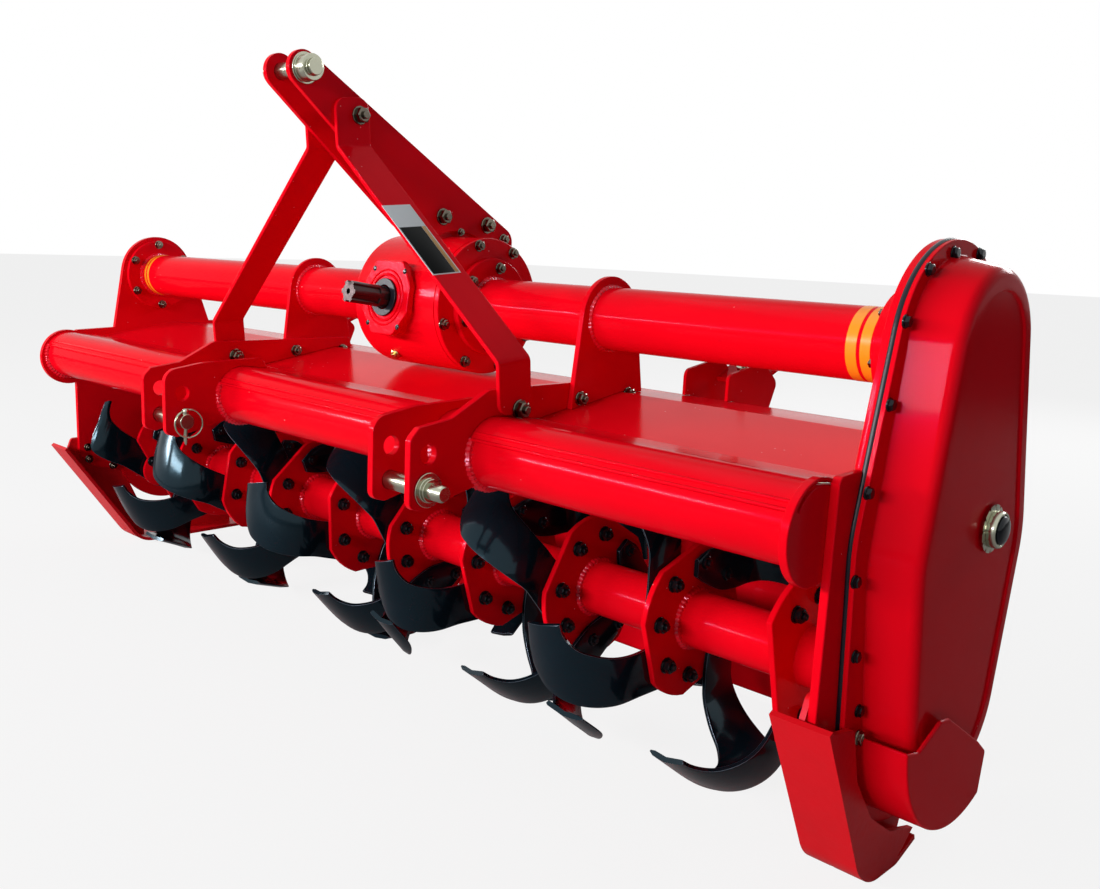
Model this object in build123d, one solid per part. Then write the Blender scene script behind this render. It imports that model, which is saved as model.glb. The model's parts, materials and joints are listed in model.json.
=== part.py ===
from build123d import *
import math
import os

os.makedirs("parts", exist_ok=True)

# A two-metre rotary tiller for a tractor's three-point linkage, side gear drive.
# Modelled about the rotor: X runs along its axis towards the gear case, Y to the rear, Z up,
# with zero on the axis, midway between the end discs. place() moves it all to stand on the ground.

# ---- Driving dimensions, millimetres and degrees ----
SEAT = 0.3  # gap between curved faces that bear on each other
RUNNING = 0.05  # radial clearance of a journal in its bore
CLEAR = 2.0  # radial clearance where a shaft only passes through

# Rotor
DISC_PITCH = 200
DISC_R = 124  # rounded corners of the tine discs
DISC_FLAT = 112  # the axis to a flat side between two corners
END_DISC_R = 131  # the end discs are long hexagons with two lobes
END_DISC_FLAT = 88
DISC_T = 10
# For each disc, from the left: the angle from +Y of the corner with its first right-hand tine, and
# how far behind that corner its first left-hand tine is. The second of each hand is a corner on.
DISCS = ((299, 0), (347, 90), (305, 90), (356, 90), (317, 90), (273, 0), (332, 90), (284, 0), (333.5, 90),
         (285, 0))
ROTOR_TUBE_R = 44.5
STUB_R = 25
COLLAR_R = 58
COLLAR_L = 22
TIP_R = 234  # tine tips
TINE_T = 8
TINE_REACH = 92  # sideways, from the disc's face
TINE_LEAN = 52  # the bent part lies square to this lag behind the corner
TINE_RISE = 222  # the bent part's height along the lean
TINE_BEND_R = 55
# Radius and angle from the corner along a tine's two long sides, from its foot to its tip.
TINE_LEAD = ((75, 26), (105, 19), (125, 2), (155, -16), (180, -23), (205, -30), (222, -38), (TIP_R, -50),
             (TIP_R, -68))
TINE_TRAIL = ((75, -26), (108, -33), (145, -42), (165, -50), (178, -58), (186, -68))
TIP_CLEARANCE = 2  # tips above the ground

# Side plates
WALL = 12
LEFT_MARGIN = 89  # end disc to left plate
RIGHT_MARGIN = 134  # end disc to right plate
FRONT_EDGE_Y = -231
LEFT_POST_R = 93
NOSE_R = 65
LOBE_R = 132
BEARING_R = 84
BEARING_FLANGE_T = 14
BEARING_L = 52

# Main beam
BEAM_Y = -11
BEAM_Z = 445
BEAM_R = 49
BEAM_FLANGE_R = 84
BEAM_FLANGE_T = 12
BEAM_BEARING_R = 74
BEAM_BEARING_L = 43

# Front tube
TUBE_Y = -248
TUBE_Z = 252
TUBE_R = 51
TUBE_END_T = 12

# Hood, a pressed sheet from the front tube to the rear board's hinge
SHEET = 4
LAP_ANGLE = 150  # where the sheet starts round the tube
CREASE_Y = -155
CREASE_Z = 294
LIP_Y = 25
LIP_Z = 324
KNEE_Y = 150
KNEE_Z = 318
HINGE_Y = 268
HINGE_Z = 184

# Gear case on the right
GASKET_T = 3
CASE_RIM_T = 8
CASE_DEPTH = 60
CASE_DRAW = 13  # how far the dome's sides lean in over its depth
CASE_EDGE_R = 16
CASE_TOP_R = 136
CASE_MID_R = 196
CASE_MID_Z = 215
CASE_LOW_R = 180
DOME_TOP_R = 117
DOME_MID_R = 165
DOME_MID_Z = 200
DOME_LOW_R = 135
PANEL_INSET = 26
PANEL_DEPTH = 3
PLUG_Y = 35
PLUG_Z = 226
GUARD_R = 163
GUARD_WALL = 8
GUARD_OUT = 73  # how far the guard stands out from the case's rim

# Gearbox at the middle of the hitch
HITCH_X = 107  # middle of hitch, mast and gearbox
DRUM_R = 118
DRUM_HALF = 112
DRUM_COVER_T = 12
INPUT_Y = -144
INPUT_Z = 455
INPUT_TILT = 8  # the input shaft rises to the front
CAP_W = 126
CAP_H = 130
CAP_T = 13
SEAL_R = 33
SHAFT_R = 19
SHAFT_OUT = 80
SPLINE_L = 58
SPLINE_ROOT_R = 15.5
SPLINE_W = 8
SPLINES = 6
SHAFT_IN = 70

# Hitch
EAR_T = 12
OUTER_EAR = 390  # HITCH_X to the middle of the outer ear
INNER_EAR = 307
EAR_FRONT_Y = -408
LOWER_PIN_Y = -376
LOWER_PIN_Z = 214
UPPER_HOLE_Z = 264
LOWER_PIN_R = 14
SADDLE_T = 10
SADDLE_R = 66
MAST_T = 10
MAST_HALF = 32  # HITCH_X to the middle of a mast plate
TOP_PIN_Y = -337
TOP_PIN_Z = 808
TOP_PIN_R = 12.7
BRACE_W = 66
BRACE_T = 8
BRACE_BOLT_Y = -214
BRACE_BOLT_Z = 316
BRACE_LEAN = 4.7

# Skids
SKID_W = 81
SKID_T = 8
# a skid's toe (y, z), its heel's y and radius, and where the sole starts to rise and how far it rises
LEFT_SKID = (-279, 28, -93, 60, 207, 30)
RIGHT_SKID = (-246, 16, -121, 70, -30, 18)
SKID_TAIL = 50
RIGHT_SKID_OUT = 41  # the right skid's outer edge beyond the side plate's inner face
LEFT_SKID_OUT = 46
WEB_T = 8
CHEEK_W = 8

# Rear board and its adjusters
KNUCKLE_R = 11
HINGE_PIN_R = 6
KNUCKLE_L = 90
KNUCKLE_PITCH = 396  # between the hood's knuckles; the board's lie half-way between
BOARD_END_GAP = 6
BOARD_BELLY_Y = 306
BOARD_FOOT_Y = 290
BOARD_FOOT_Z = -220
ADJUSTER_SPREAD = 587  # either side of the board's middle
LUG_Y = 365
LUG_Z = 30
EYE_Y = 235
EYE_Z = 356
ROD_R = 8
ROD_OVER = 70
LUG_T = 8
LUG_GAP = 9  # a lug's inner face from the rod's middle
BRACKET_W = 89
CHEEK_T = 6

# ---- Places worked out from them ----
DISC_COUNT = len(DISCS)
ROTOR_HALF = (DISC_COUNT - 1) / 2 * DISC_PITCH
GROUND_Z = -(TIP_R + TIP_CLEARANCE)
LEFT_X = -(ROTOR_HALF + LEFT_MARGIN)
RIGHT_X = ROTOR_HALF + RIGHT_MARGIN
RIM_X = RIGHT_X + WALL + GASKET_T
FACE_X = RIM_X + CASE_RIM_T + CASE_DEPTH
MID_X = (LEFT_X + RIGHT_X) / 2
DRUM_LEFT_X = HITCH_X - DRUM_HALF
DRUM_RIGHT_X = HITCH_X + DRUM_HALF
ADJUSTERS = (MID_X - ADJUSTER_SPREAD, MID_X + ADJUSTER_SPREAD)
AXIS_X = (1, 0, 0)

pieces = {}


# ---- Helpers ----
def slab(profile, x, thickness):
    """A profile drawn in Y and Z, made a plate from x to x + thickness."""
    return extrude(Plane.YZ.offset(x) * profile, thickness, dir=AXIS_X)


def disc(y, z, radius):
    """A round face centred at y, z."""
    return Pos(y, z) * Circle(radius)


def bar(x0, x1, y, z, radius):
    """A round bar along X from x0 to x1."""
    return slab(disc(y, z, radius), x0, x1 - x0)


def hull(*faces):
    """The face that a band stretched round the given faces encloses."""
    return make_hull([edge for face in faces for edge in face.edges()])


def panel(*corners):
    """A face from rows of y, z and corner radius."""
    points = [(y, z) for y, z, radius in corners]
    radii = [radius for y, z, radius in corners]
    return make_face(FilletPolyline(*points, radius=radii, close=True))


def polar(radius, angle):
    """The point in Y and Z at a radius and an angle in degrees from +Y."""
    return radius * math.cos(math.radians(angle)), radius * math.sin(math.radians(angle))


def around(profile, y, thickness):
    """A profile drawn in X and Z, made a block centred on y."""
    return extrude(Plane.XZ.offset(-y) * profile, thickness / 2, both=True)


# ---- Outlines that several pieces share ----
def hood_path():
    """The middle of the hood's sheet, from the lap on the front tube to the hinge."""
    lap_r = TUBE_R + SEAT + SHEET / 2
    run_y, run_z = CREASE_Y - TUBE_Y, CREASE_Z - TUBE_Z
    leave = math.degrees(math.atan2(run_z, run_y) + math.acos(lap_r / math.hypot(run_y, run_z)))
    lap = CenterArc((TUBE_Y, TUBE_Z), lap_r, LAP_ANGLE, leave - LAP_ANGLE)
    reach = math.hypot(KNEE_Y - HINGE_Y, KNEE_Z - HINGE_Z)
    stop = (KNUCKLE_R + CLEAR) / reach
    end = (HINGE_Y + (KNEE_Y - HINGE_Y) * stop, HINGE_Z + (KNEE_Z - HINGE_Z) * stop)
    corners = [(CREASE_Y, CREASE_Z), (LIP_Y, LIP_Z), (KNEE_Y, KNEE_Z), end]
    run = FilletPolyline(lap @ 1, *corners, radius=[8, 12, 50])
    return Wire([lap.edge()] + list(run.edges()))


def under_hood():
    """Everything below the middle of the hood's sheet behind the front tube."""
    corners = [(TUBE_Y, GROUND_Z), (TUBE_Y, TUBE_Z)]
    corners += [(CREASE_Y, CREASE_Z), (LIP_Y, LIP_Z), (KNEE_Y, KNEE_Z)]
    corners += [(HINGE_Y, HINGE_Z), (HINGE_Y, GROUND_Z)]
    return make_face(Polyline(*corners, close=True))


def clear_of_hood(profile):
    """A profile cut back to seat on the hood's sheet and on the front tube."""
    below = under_hood()
    sheet_gap = trace(hood_path(), line_width=SHEET + 2 * SEAT)
    return profile - disc(TUBE_Y, TUBE_Z, TUBE_R + SEAT) - sheet_gap - below


def side_body():
    """The side plate's outline below the beam, the same on both sides."""
    corners = (
        (FRONT_EDGE_Y, TUBE_Z + NOSE_R - 6, 10),
        (FRONT_EDGE_Y, 2, 12),
        (-194, -30, 14),
        (-130, -44, 20),
        (0, -80, 0),
        (150, -70, 20),
        (205, 20, 30),
        (HINGE_Y - 22, HINGE_Z - 10, 14),
        (KNEE_Y + 6, KNEE_Z + 10, 30),
    )
    return panel(*corners) + Circle(LOBE_R)


def case_outline(shrink):
    """The gear case's outline, drawn in by shrink."""
    top = disc(BEAM_Y, BEAM_Z, CASE_TOP_R - shrink)
    middle = disc(0, CASE_MID_Z, CASE_MID_R - shrink)
    return hull(top, middle, Circle(CASE_LOW_R - shrink))


def dome_outline(shrink):
    """The outline of the case's domed middle, drawn in by shrink."""
    top = disc(BEAM_Y, BEAM_Z, DOME_TOP_R - shrink)
    middle = disc(0, DOME_MID_Z, DOME_MID_R - shrink)
    return hull(top, middle, Circle(DOME_LOW_R - shrink))


def split_solids(shape):
    """A shape's largest solid, without the slivers that a cut leaves."""
    return shape.solids().sort_by(SortBy.VOLUME)[-1]


# ---- Frame ----
def side_plates():
    stub_hole = Circle(STUB_R + CLEAR)
    post = hull(disc(BEAM_Y, BEAM_Z, LEFT_POST_R), disc(-118, 310, 12), disc(122, 310, 12))
    left = side_body() + post + disc(TUBE_Y, TUBE_Z - 5, NOSE_R) - stub_hole
    pieces["side_plate_left"] = slab(left, LEFT_X - WALL, WALL)
    right = side_body() + case_outline(0) - stub_hole
    pieces["side_plate_right"] = slab(right, RIGHT_X, WALL)


def main_beam():
    left_flange = bar(LEFT_X, LEFT_X + BEAM_FLANGE_T, BEAM_Y, BEAM_Z, BEAM_FLANGE_R)
    inner_flange = bar(DRUM_LEFT_X - BEAM_FLANGE_T, DRUM_LEFT_X, BEAM_Y, BEAM_Z, BEAM_FLANGE_R)
    tube = bar(LEFT_X, DRUM_LEFT_X, BEAM_Y, BEAM_Z, BEAM_R)
    pieces["beam_left"] = tube + left_flange + inner_flange
    start = DRUM_RIGHT_X + DRUM_COVER_T
    end = RIGHT_X - BEAM_BEARING_L
    tube = bar(start, end, BEAM_Y, BEAM_Z, BEAM_R)
    inner_flange = bar(start, start + BEAM_FLANGE_T, BEAM_Y, BEAM_Z, BEAM_FLANGE_R)
    pieces["beam_right"] = tube + inner_flange
    pieces["beam_bearing"] = bar(end, RIGHT_X, BEAM_Y, BEAM_Z, BEAM_BEARING_R)


def front_tube():
    end = RIGHT_X - TUBE_END_T
    pieces["front_tube"] = bar(LEFT_X, end, TUBE_Y, TUBE_Z, TUBE_R)
    cap = hull(disc(TUBE_Y, TUBE_Z - 5, NOSE_R), disc(FRONT_EDGE_Y + 30, TUBE_Z - 5, NOSE_R - 12))
    cap -= trace(hood_path(), line_width=SHEET + 2 * SEAT)
    pieces["tube_end_plate"] = split_solids(slab(cap, end, TUBE_END_T))


def knuckles(x_middles, tab_end):
    """Hinge knuckles centred on each x, with tabs out to tab_end."""
    ring = disc(HINGE_Y, HINGE_Z, KNUCKLE_R)
    tab = trace(Line((HINGE_Y, HINGE_Z), tab_end), line_width=SHEET)
    profile = ring + tab - disc(HINGE_Y, HINGE_Z, HINGE_PIN_R + RUNNING)
    made = [slab(profile, x - KNUCKLE_L / 2, KNUCKLE_L) for x in x_middles]
    return made


def hood():
    path = hood_path()
    sheet = slab(trace(path, line_width=SHEET), LEFT_X, RIGHT_X - TUBE_END_T - LEFT_X)
    back = path @ 0.97
    middles = [MID_X + step * KNUCKLE_PITCH for step in (-2, -1, 0, 1, 2)]
    for knuckle in knuckles(middles, (back.X, back.Y)):
        sheet += knuckle
    pieces["hood"] = sheet


def hinge_pin():
    x0, x1 = LEFT_X + BOARD_END_GAP, RIGHT_X - BOARD_END_GAP
    pieces["hinge_pin"] = bar(x0, x1, HINGE_Y, HINGE_Z, HINGE_PIN_R)


# ---- Gear case ----
def gear_case():
    outline = case_outline(0)
    stub_hole = Circle(STUB_R + CLEAR)
    pieces["case_gasket"] = slab(outline - stub_hole, RIGHT_X + WALL, GASKET_T)
    rim = slab(outline, RIM_X, CASE_RIM_T)
    wall_x = RIM_X + CASE_RIM_T
    foot = Plane.YZ.offset(wall_x) * dome_outline(0)
    top = Plane.YZ.offset(FACE_X) * dome_outline(CASE_DRAW)
    dome = loft([foot, top])
    dome = fillet(dome.faces().sort_by(Axis.X)[-1].edges(), CASE_EDGE_R)
    recess = dome_outline(CASE_DRAW + PANEL_INSET)
    dome -= slab(recess, FACE_X - PANEL_DEPTH, PANEL_DEPTH)
    cover = rim + dome
    cover -= bar(RIM_X, RIM_X + 14, 0, 0, STUB_R + CLEAR)
    pieces["case_cover"] = cover
    seat_x = FACE_X - PANEL_DEPTH
    plug = bar(seat_x, seat_x + 14, PLUG_Y, PLUG_Z, 26)
    plug += bar(seat_x + 14, seat_x + 24, PLUG_Y, PLUG_Z, 14)
    pieces["case_plug"] = plug


def case_guard():
    """A boot round the bottom of the case, open at the top where the case goes in."""
    mouth = panel((-175, -12, 0), (-129, -23, 10), (-75, 1, 14), (-50, -2, 10), (53, -64, 20), (82, -86, 8),
                  (70, -175, 0), (-175, -175, 0))
    wall_x = RIM_X + CASE_RIM_T
    face = Circle(GUARD_R) & mouth
    band = face - Circle(GUARD_R - GUARD_WALL)
    boot = slab(band, wall_x, GUARD_OUT)
    boot += slab(face, wall_x + GUARD_OUT - GUARD_WALL + 2, GUARD_WALL - 2)
    pieces["case_guard"] = boot


# ---- Gearbox ----
def input_plane(offset):
    """The plane across the input shaft, offset outwards from the cap's face."""
    tilt = math.radians(INPUT_TILT)
    out = Vector(0, -math.cos(tilt), math.sin(tilt))
    origin = Vector(HITCH_X, INPUT_Y, INPUT_Z) + out * offset
    return Plane(origin=origin, x_dir=(1, 0, 0), z_dir=out)


def cap_outline(scale_out):
    half_w, half_h = CAP_W / 2 + scale_out, CAP_H / 2 + scale_out
    corners = ((-half_w, 24, 14), (-half_w + 26, half_h, 14), (half_w - 26, half_h, 14),
               (half_w, 24, 14), (half_w, -24, 14), (half_w - 34, -half_h, 14),
               (-half_w + 34, -half_h, 14), (-half_w, -24, 14))
    return panel(*corners)


def gearbox():
    drum = bar(DRUM_LEFT_X, DRUM_RIGHT_X, BEAM_Y, BEAM_Z, DRUM_R)
    drum = fillet(drum.edges().filter_by(GeomType.CIRCLE).sort_by(Axis.X)[0], 10)
    boss = extrude(input_plane(-CAP_T) * cap_outline(-6), -90)
    lug_x = HITCH_X - MAST_HALF + MAST_T / 2
    lug_w = 2 * MAST_HALF - MAST_T
    lug = slab(hull(disc(-42, 592, 20), disc(94, 560, 20), disc(BEAM_Y, BEAM_Z, 90)), lug_x, lug_w)
    housing = drum + boss + lug
    bore = extrude(input_plane(-CAP_T - SHAFT_IN) * Circle(SHAFT_R + RUNNING), SHAFT_IN + CAP_T)
    pieces["gearbox"] = housing - bore
    cap = extrude(input_plane(-CAP_T) * (cap_outline(0) - Circle(SHAFT_R + CLEAR)), CAP_T)
    pieces["input_cap"] = cap
    seal = extrude(input_plane(0) * (Circle(SEAL_R) - Circle(SHAFT_R + CLEAR)), 5)
    pieces["input_seal"] = seal
    cover = bar(DRUM_RIGHT_X, DRUM_RIGHT_X + DRUM_COVER_T, BEAM_Y, BEAM_Z, DRUM_R)
    pieces["gearbox_cover"] = cover


def input_shaft():
    plain = extrude(input_plane(-CAP_T - SHAFT_IN + 1) * Circle(SHAFT_R), SHAFT_IN + CAP_T + SHAFT_OUT - SPLINE_L)
    section = Circle(SPLINE_ROOT_R)
    for i in range(SPLINES):
        section += Rot(0, 0, 360 / SPLINES * i) * Pos(SPLINE_ROOT_R, 0) * Rectangle(8, SPLINE_W)
    section = section & Circle(SHAFT_R)
    splined = extrude(input_plane(SHAFT_OUT - SPLINE_L) * section, SPLINE_L)
    centre_hole = extrude(input_plane(SHAFT_OUT - 12) * Circle(5), 14)
    pieces["input_shaft"] = plain + splined - centre_hole


# ---- Hitch ----
def ear_plates():
    """Two ears a side: the outer one runs back to the saddle, the inner one stops behind the tube."""
    outer = panel(
        (EAR_FRONT_Y, 190, 14), (EAR_FRONT_Y, 288, 18), (-392, 303, 6), (-333, 311, 20),
        (-261, 347, 20), (66, 347, 12), (66, 290, 0), (-180, 240, 0), (-250, 215, 30), (-385, 183, 10),
    )
    inner = panel(
        (EAR_FRONT_Y, 190, 14), (EAR_FRONT_Y, 306, 26), (-330, 318, 20), (-205, 322, 20),
        (-185, 290, 0), (-180, 240, 0), (-250, 215, 30), (-385, 183, 10),
    )
    holes = disc(LOWER_PIN_Y, LOWER_PIN_Z, LOWER_PIN_R + RUNNING) + disc(-374, UPPER_HOLE_Z, LOWER_PIN_R)
    outer = clear_of_hood(outer) - holes
    inner = clear_of_hood(inner) - holes
    for side, name in ((-1, "left"), (1, "right")):
        for profile, kind, reach in ((outer, "outer", OUTER_EAR), (inner, "inner", INNER_EAR)):
            x = HITCH_X + side * reach - EAR_T / 2
            pieces[f"ear_{kind}_{name}"] = split_solids(slab(profile, x, EAR_T))


def saddles():
    """Plates that hold the beam above the hood, bolted to the outer ears."""
    foot = 296
    shape = hull(disc(BEAM_Y, BEAM_Z, SADDLE_R), disc(-88, foot, 8), disc(74, foot, 8))
    shape = clear_of_hood(shape - disc(BEAM_Y, BEAM_Z, BEAM_R + SEAT))
    face = OUTER_EAR + EAR_T / 2
    pieces["saddle_left"] = split_solids(slab(shape, HITCH_X - face - SADDLE_T, SADDLE_T))
    pieces["saddle_right"] = split_solids(slab(shape, HITCH_X + face, SADDLE_T))


def mast():
    shape = hull(disc(TOP_PIN_Y, TOP_PIN_Z, 28), disc(100, 556, 27), disc(-85, 604, 30))
    shape -= disc(BEAM_Y, BEAM_Z, DRUM_R + 10)
    shape -= disc(TOP_PIN_Y, TOP_PIN_Z, TOP_PIN_R + RUNNING)
    for side, name in ((-1, "left"), (1, "right")):
        x = HITCH_X + side * MAST_HALF - MAST_T / 2
        pieces[f"mast_{name}"] = split_solids(slab(shape, x, MAST_T))
    spacer_w = 2 * MAST_HALF - MAST_T
    pieces["mast_spacer"] = bar(HITCH_X - spacer_w / 2, HITCH_X + spacer_w / 2, -235, 749, 14)


def braces():
    """Flat bars cranked inwards from the outer ears to the mast plates."""
    low = OUTER_EAR + EAR_T / 2 + BRACE_T / 2
    high = MAST_HALF + MAST_T / 2 + BRACE_T / 2
    for side, name in ((-1, "left"), (1, "right")):
        stations = ((low, 309), (low, 388), (high, 700), (high, 776))
        points = [(HITCH_X + side * reach, z) for reach, z in stations]
        path = FilletPolyline(*points, radius=[12, 12])
        flat = around(trace(path, line_width=BRACE_T), BRACE_BOLT_Y, BRACE_W)
        ends = flat.edges().filter_by(Axis.X).group_by(Axis.Z)
        flat = fillet(ends[0] + ends[-1], 20)
        axis = Axis((0, BRACE_BOLT_Y, BRACE_BOLT_Z), AXIS_X)
        pieces[f"brace_{name}"] = flat.rotate(axis, BRACE_LEAN)


def pins():
    """Lower hitch pins in the ears, and the top link's pin in the mast."""
    outside = OUTER_EAR + EAR_T / 2
    inside = INNER_EAR - EAR_T / 2
    right = bar(HITCH_X + inside - 8, HITCH_X + outside + 45, LOWER_PIN_Y, LOWER_PIN_Z, LOWER_PIN_R)
    right += bar(HITCH_X + outside, HITCH_X + outside + 6, LOWER_PIN_Y, LOWER_PIN_Z, 25)
    right += bar(HITCH_X + outside + 6, HITCH_X + outside + 26, LOWER_PIN_Y, LOWER_PIN_Z, 20)
    pieces["lower_pin_right"] = right
    left = bar(HITCH_X - outside - 10, HITCH_X - inside + 22, LOWER_PIN_Y, LOWER_PIN_Z, LOWER_PIN_R)
    left += bar(HITCH_X - outside - 10, HITCH_X - outside, LOWER_PIN_Y, LOWER_PIN_Z, 21)
    pieces["lower_pin_left"] = left
    mast_face = MAST_HALF + MAST_T / 2
    top = bar(HITCH_X - mast_face - 12, HITCH_X + mast_face + 32, TOP_PIN_Y, TOP_PIN_Z, TOP_PIN_R)
    top += bar(HITCH_X - mast_face - 12, HITCH_X - mast_face, TOP_PIN_Y, TOP_PIN_Z, 21)
    top += bar(HITCH_X + mast_face, HITCH_X + mast_face + 4, TOP_PIN_Y, TOP_PIN_Z, 24)
    top += bar(HITCH_X + mast_face + 4, HITCH_X + mast_face + 24, TOP_PIN_Y, TOP_PIN_Z, 20)
    pieces["top_pin"] = top


# ---- Skids ----
def skid_strip(toe_y, toe_z, heel_y, heel_r, sole_y, rise):
    """The middle of a skid's strip: down from its toe, round the heel, along the sole and up its tail."""
    z = GROUND_Z + SKID_T / 2
    tail = (sole_y + SKID_TAIL, z + rise)
    return FilletPolyline((toe_y, toe_z), (heel_y, z), (sole_y, z), tail, radius=[heel_r, 30])


def front_web(toe_y, heel_y):
    """The web that joins a skid's sloping front to the side plate."""
    floor = GROUND_Z + SKID_T - 1
    return panel((toe_y, 4, 0), (toe_y + 16, 44, 10), (-186, 44, 14), (-124, -30, 14),
                 (-70, -150, 30), (-62, floor, 0), (heel_y, floor, 0))


def skids():
    """The left skid runs the plate's length; the right one turns up under the guard and has a cheek."""
    floor = GROUND_Z + SKID_T - 1
    rear_web = panel((60, floor, 0), (110, -30, 20), (150, 20, 14), (196, -10, 20), (190, floor, 0))
    x = LEFT_X - LEFT_SKID_OUT
    web = slab(front_web(-261, -92) + rear_web, LEFT_X - WALL - WEB_T, WEB_T)
    pieces["skid_left"] = slab(trace(skid_strip(*LEFT_SKID), line_width=SKID_T), x, SKID_W) + web
    x = RIGHT_X + RIGHT_SKID_OUT - SKID_W
    strip = slab(trace(skid_strip(*RIGHT_SKID), line_width=SKID_T), x, SKID_W)
    cheek = panel((-245, 14, 0), (-190, 5, 8), (-168, -70, 30), (-120, -135, 30), (-60, -176, 20),
                  (10, -196, 0), (-30, floor, 10), (-120, floor, 60))
    web = slab(front_web(-240, -119), RIGHT_X - WEB_T, WEB_T)
    pieces["skid_right"] = strip + web + slab(cheek, x + SKID_W - CHEEK_W, CHEEK_W)


# ---- Rotor ----
def rotor_bearing():
    flange = bar(LEFT_X - WALL - BEARING_FLANGE_T, LEFT_X - WALL, 0, 0, BEARING_R)
    barrel = bar(LEFT_X - WALL - BEARING_L, LEFT_X - WALL - BEARING_FLANGE_T, 0, 0, BEARING_R - 26)
    bore = bar(LEFT_X - WALL - BEARING_L + 10, LEFT_X - WALL, 0, 0, STUB_R + RUNNING)
    pieces["rotor_bearing"] = flange + barrel - bore


def rotor_shaft():
    left_end = LEFT_X + COLLAR_L
    right_end = RIGHT_X - COLLAR_L
    shaft = bar(left_end, right_end, 0, 0, ROTOR_TUBE_R)
    shaft += bar(left_end, left_end + COLLAR_L, 0, 0, COLLAR_R)
    shaft += bar(right_end - COLLAR_L, right_end, 0, 0, COLLAR_R)
    stub_left = LEFT_X - WALL - BEARING_L + 12
    stub_right = RIM_X + 12
    shaft += bar(stub_left, stub_right, 0, 0, STUB_R)
    for i, (corner, behind) in enumerate(DISCS):
        if i in (0, DISC_COUNT - 1):
            outline = Circle(END_DISC_R) & Rectangle(2 * END_DISC_R, 2 * END_DISC_FLAT)
        else:
            outline = Circle(DISC_R) & Rot(0, 0, 45) * Rectangle(2 * DISC_FLAT, 2 * DISC_FLAT)
        x = -ROTOR_HALF + i * DISC_PITCH
        shaft += slab(Rot(0, 0, corner) * outline, x - DISC_T / 2, DISC_T)
    pieces["rotor_shaft"] = shaft


def tine(side):
    """A bent tine on the disc's face that looks to side, its shank pointing along +Y at no turn."""
    lead = [polar(radius, angle) for radius, angle in TINE_LEAD]
    trail = [polar(radius, angle) for radius, angle in TINE_TRAIL]
    sides = [Spline(*lead), Line(lead[-1], trail[-1]), Spline(*trail), Line(trail[0], lead[0])]
    outline = make_face(Wire([side_edge.edge() for side_edge in sides]))
    half = TINE_T / 2
    bend = FilletPolyline((half, 0), (half, TINE_RISE), (TINE_REACH, TINE_RISE), radius=[TINE_BEND_R])
    sheet = extrude(Plane.XY * trace(bend, line_width=TINE_T), TIP_R, both=True)
    blade = slab(outline, -TINE_T, TINE_REACH + 2 * TINE_T) & sheet.rotate(Axis.X, -TINE_LEAN)
    if side < 0:
        blade = mirror(blade, Plane.YZ)
    return split_solids(blade)


def tines():
    """Two tines of each hand on a disc; the end discs hold two, turned inwards."""
    made = []
    blanks = {side: tine(side) for side in (-1, 1)}
    for i, (corner, behind) in enumerate(DISCS):
        seats = [(1, corner), (1, corner + 90), (-1, corner - behind), (-1, corner - behind - 90)]
        if i in (0, DISC_COUNT - 1):
            inwards = 1 if i == 0 else -1
            seats = [(inwards, corner), (inwards, corner + 180)]
        x = -ROTOR_HALF + i * DISC_PITCH
        for side, turn in seats:
            blade = blanks[side].rotate(Axis.X, turn)
            made.append(Pos(x + side * (DISC_T / 2 + SEAT), 0, 0) * blade)
    pieces["tines"] = Compound([solid for blade in made for solid in blade.solids()])


# ---- Rear board ----
def rear_board():
    stop = KNUCKLE_R + CLEAR
    start = (HINGE_Y + 4, HINGE_Z - stop)
    path = FilletPolyline(start, (BOARD_BELLY_Y - 6, 60), (BOARD_BELLY_Y, -70), (BOARD_FOOT_Y, BOARD_FOOT_Z),
                          (BOARD_FOOT_Y + 26, BOARD_FOOT_Z - 6), radius=[60, 80, 8])
    x0, x1 = LEFT_X + BOARD_END_GAP, RIGHT_X - BOARD_END_GAP
    board = slab(trace(path, line_width=SHEET), x0, x1 - x0)
    middles = [MID_X + step * KNUCKLE_PITCH for step in (-1.5, -0.5, 0.5, 1.5)]
    for knuckle in knuckles(middles, (start[0] + 3, start[1] - 12)):
        board += knuckle
    lug = panel((BOARD_BELLY_Y - 5, LUG_Z + 46, 0), (LUG_Y, LUG_Z + 20, 16), (LUG_Y + 18, LUG_Z, 14),
                (LUG_Y, LUG_Z - 20, 16), (BOARD_BELLY_Y - 4, LUG_Z - 60, 0))
    lug -= disc(LUG_Y, LUG_Z, ROD_R + RUNNING)
    for x in ADJUSTERS:
        for side in (-1, 1):
            board += slab(lug, x + side * (LUG_T / 2 + LUG_GAP) - LUG_T / 2, LUG_T)
    pieces["rear_board"] = board


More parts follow.
